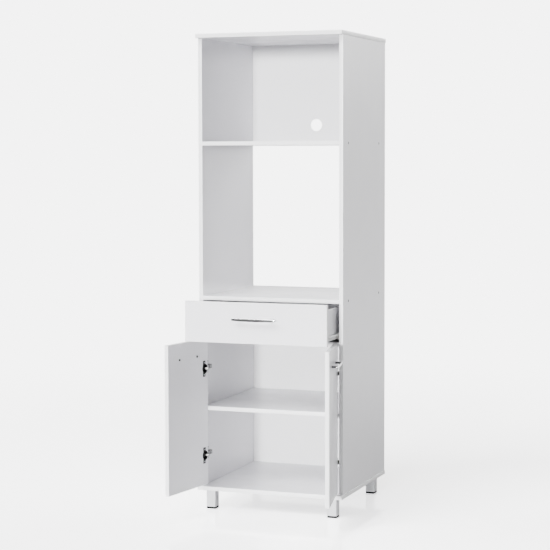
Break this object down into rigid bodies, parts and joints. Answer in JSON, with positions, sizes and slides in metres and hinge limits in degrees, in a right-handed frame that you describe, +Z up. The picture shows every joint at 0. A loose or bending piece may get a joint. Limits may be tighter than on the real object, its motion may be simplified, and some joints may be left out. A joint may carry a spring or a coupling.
{
  "type": "microwave cabinet",
  "caption": "Tall white kitchen cabinet on square metal legs with an upper niche, an open microwave niche, a drawer on roller runners and a two-door cupboard with a loose shelf.",
  "frame": {"origin": "on the floor under the middle of the whole object's box, with the doors open and the drawer part-way out as stored", "axes": "+Z up, front of the cabinet towards -Y, +X to the right when facing the front"},
  "size_m": [0.692, 0.8421, 1.88],
  "materials": {
    "white_board": "white melamine-faced chipboard, fine satin texture, white edge band",
    "drawer_board": "thin white melamine-faced chipboard, satin",
    "white_fibreboard": "white lacquered fibreboard, satin",
    "satin_leg": "satin silver square tube",
    "foot_plastic": "black moulded plastic, matt",
    "satin_handle": "satin chrome plate",
    "nickel_hinge": "nickel-plated pressed steel",
    "zinc_fastener": "zinc-plated steel",
    "white_steel": "white epoxy-coated pressed steel",
    "roller_plastic": "off-white moulded nylon",
    "beech": "raw beech, fluted"
  },
  "bodies": {
    "cabinet": {"left_side_panel": "white_board", "right_side_panel": "white_board", "top_panel": "white_board", "bottom_panel": "white_board", "upper_shelf": "white_board", "microwave_shelf": "white_board", "drawer_divider": "white_board", "upper_back_panel": "white_fibreboard", "lower_back_panel": "white_fibreboard", "adjustable_shelf": "white_board", "shelf_pins": "zinc_fastener", "side_bolts": "zinc_fastener", "cap_bolts": "zinc_fastener", "dowels": "beech", "back_panel_nails": "zinc_fastener", "leg_front_left": "satin_leg", "leg_front_right": "satin_leg", "leg_rear_left": "satin_leg", "leg_rear_right": "satin_leg", "foot_pads": "foot_plastic", "leg_screws": "zinc_fastener", "left_hinge_plates": "nickel_hinge", "right_hinge_plates": "nickel_hinge", "left_hinge_arms": "nickel_hinge", "right_hinge_arms": "nickel_hinge", "hinge_plate_screws": "zinc_fastener", "left_cabinet_runner": "white_steel", "right_cabinet_runner": "white_steel", "cabinet_runner_screws": "zinc_fastener", "front_roller_axles": "zinc_fastener"},
    "drawer": {"drawer_front": "white_board", "drawer_left_side": "drawer_board", "drawer_right_side": "drawer_board", "drawer_back": "drawer_board", "drawer_bottom": "white_fibreboard", "drawer_cams": "zinc_fastener", "drawer_cam_bolts": "zinc_fastener", "drawer_back_screws": "zinc_fastener", "drawer_handle": "satin_handle", "drawer_handle_screws": "zinc_fastener", "left_drawer_runner": "white_steel", "right_drawer_runner": "white_steel", "drawer_runner_screws": "zinc_fastener", "rear_roller_axles": "zinc_fastener"},
    "left_door": {"left_door_panel": "white_board", "left_door_handle": "satin_handle", "left_handle_screws": "zinc_fastener", "left_hinge_cups": "nickel_hinge", "left_hinge_pins": "nickel_hinge", "left_cup_screws": "zinc_fastener"},
    "right_door": {"right_door_panel": "white_board", "right_door_handle": "satin_handle", "right_handle_screws": "zinc_fastener", "right_hinge_cups": "nickel_hinge", "right_hinge_pins": "nickel_hinge", "right_cup_screws": "zinc_fastener"},
    "left_front_roller": {"left_front_roller": "roller_plastic"},
    "right_front_roller": {"right_front_roller": "roller_plastic"},
    "left_rear_roller": {"left_rear_roller": "roller_plastic"},
    "right_rear_roller": {"right_rear_roller": "roller_plastic"}
  },
  "joints": [
    {"name": "drawer_slide", "type": "slide", "parent": "cabinet", "child": "drawer", "axis": [0, -1, 0], "range_m": [-0.1425, 0.2075]},
    {"name": "left_door_swing", "type": "hinge", "parent": "cabinet", "child": "left_door", "pos_m": [-0.276, -0.1455, 0.391], "axis": [0, 0, -1], "range_deg": [-98.5, 8.5]},
    {"name": "right_door_swing", "type": "hinge", "parent": "cabinet", "child": "right_door", "pos_m": [0.276, -0.1455, 0.391], "axis": [0, 0, 1], "range_deg": [-102.3, 4.7]},
    {"name": "left_front_roller_spin", "type": "hinge", "parent": "cabinet", "child": "left_front_roller", "pos_m": [-0.277, -0.116, 0.7076], "axis": [1, 0, 0], "range_deg": [-930, 1350]},
    {"name": "right_front_roller_spin", "type": "hinge", "parent": "cabinet", "child": "right_front_roller", "pos_m": [0.277, -0.116, 0.7076], "axis": [1, 0, 0], "range_deg": [-930, 1350]},
    {"name": "left_rear_roller_spin", "type": "hinge", "parent": "drawer", "child": "left_rear_roller", "pos_m": [-0.277, 0.209, 0.7078], "axis": [1, 0, 0], "range_deg": [-930, 1350]},
    {"name": "right_rear_roller_spin", "type": "hinge", "parent": "drawer", "child": "right_rear_roller", "pos_m": [0.277, 0.209, 0.7078], "axis": [1, 0, 0], "range_deg": [-930, 1350]}
  ],
  "couplings": [
    {"joint": "left_front_roller_spin", "follows": "drawer_slide", "rad_per_m": 112.99},
    {"joint": "right_front_roller_spin", "follows": "drawer_slide", "rad_per_m": 112.99},
    {"joint": "left_rear_roller_spin", "follows": "drawer_slide", "rad_per_m": 112.99},
    {"joint": "right_rear_roller_spin", "follows": "drawer_slide", "rad_per_m": 112.99}
  ]
}
